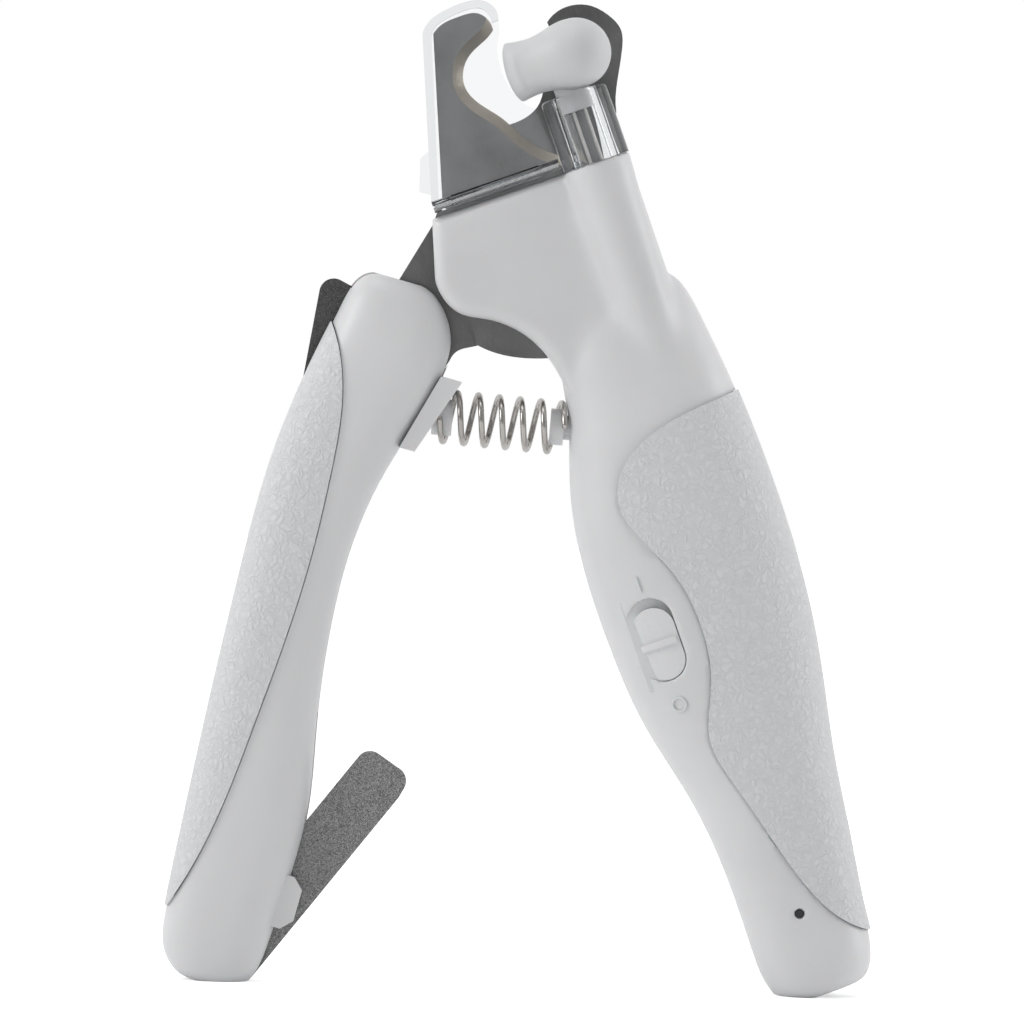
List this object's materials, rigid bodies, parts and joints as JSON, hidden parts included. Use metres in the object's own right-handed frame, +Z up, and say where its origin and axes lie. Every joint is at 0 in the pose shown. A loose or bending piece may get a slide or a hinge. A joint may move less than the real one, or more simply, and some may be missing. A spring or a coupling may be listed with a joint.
{
  "type": "lighted pet nail clipper",
  "caption": "Plier-style pet nail clipper with an LED lamp, hooked scissor blades, clear clippings catcher, return spring, folding files and a rechargeable grip.",
  "frame": {"origin": "centre of the bounding box in plan, on the floor the two handle ends stand on", "axes": "+Z up through the blades, +X towards the rechargeable housing, -Y the front that carries the lamp and the catcher"},
  "size_m": [0.117, 0.0277, 0.163],
  "materials": {
    "shell": "satin white moulding",
    "grip": "leather-textured white",
    "screw_steel": "pan-head screw steel",
    "blade": "brushed and hardened",
    "bolt": "turned steel",
    "cell": "sleeved cell",
    "board": "solder mask",
    "switch_black": "moulded black",
    "button": "satin white",
    "socket_metal": "plated shell",
    "light_pipe": "frosted light pipe",
    "clear": "clear plastic",
    "frosted": "frosted translucent",
    "lens": "clear lens",
    "emitter": "emitter resin",
    "lead": "bare lead",
    "pin": "plain pin",
    "coarse_grit": "coarse abrasive",
    "fine_grit": "fine abrasive",
    "spring_wire": "nickel wire"
  },
  "bodies": {
    "housing": {"front_cover": "shell", "back_cover": "shell", "grip_inlay_front": "grip", "grip_inlay_back": "grip", "cover_screws": "screw_steel", "fixed_blade": "blade", "pivot_bolt": "bolt", "pivot_washer": "bolt", "pivot_nut": "bolt", "battery": "cell", "circuit_board": "board", "slide_switch": "switch_black", "charging_socket": "socket_metal", "indicator_light": "light_pipe", "lamp_holder": "clear", "lamp_head": "frosted", "lamp_lens": "lens", "led": "emitter", "lamp_leads": "lead", "catcher_base": "clear", "catcher_hinge_pin": "pin", "spring_peg": "shell"},
    "handle": {"moving_blade": "blade", "handle_front_cover": "shell", "handle_back_cover": "shell", "handle_inlay_front": "grip", "handle_inlay_back": "grip", "handle_screws": "screw_steel", "coarse_file_pin": "pin", "fine_file_pin": "pin", "return_spring": "spring_wire", "spring_seat": "shell"},
    "catcher": {"catcher_door": "clear"},
    "slider": {"switch_button": "button"},
    "coarse": {"coarse_file": "coarse_grit"},
    "fine": {"fine_file": "fine_grit"}
  },
  "joints": [
    {"name": "handle_squeeze", "type": "hinge", "parent": "housing", "child": "handle", "pos_m": [-0.00553, 0.00152, 0.12358], "axis": [0, -1, 0], "range_deg": [0, 27], "stiffness_Nm_per_rad": 1.6, "springref_deg": -11.46, "deforming": ["return_spring"]},
    {"name": "coarse_file_swing", "type": "hinge", "parent": "handle", "child": "coarse", "pos_m": [-0.04661, 0.00152, 0.00425], "axis": [0, 1, 0], "range_deg": [-27, 110]},
    {"name": "fine_file_swing", "type": "hinge", "parent": "handle", "child": "fine", "pos_m": [-0.03697, 0.00152, 0.07387], "axis": [0, -1, 0], "range_deg": [-8.5, 70]},
    {"name": "catcher_flip", "type": "hinge", "parent": "housing", "child": "catcher", "pos_m": [-0.00656, -0.00388, 0.13205], "axis": [0.9367, 0, 0.3502], "range_deg": [0, 90]},
    {"name": "switch_slide", "type": "slide", "parent": "housing", "child": "slider", "axis": [-0.3502, 0, 0.9367], "range_m": [0, 0.0015]}
  ]
}
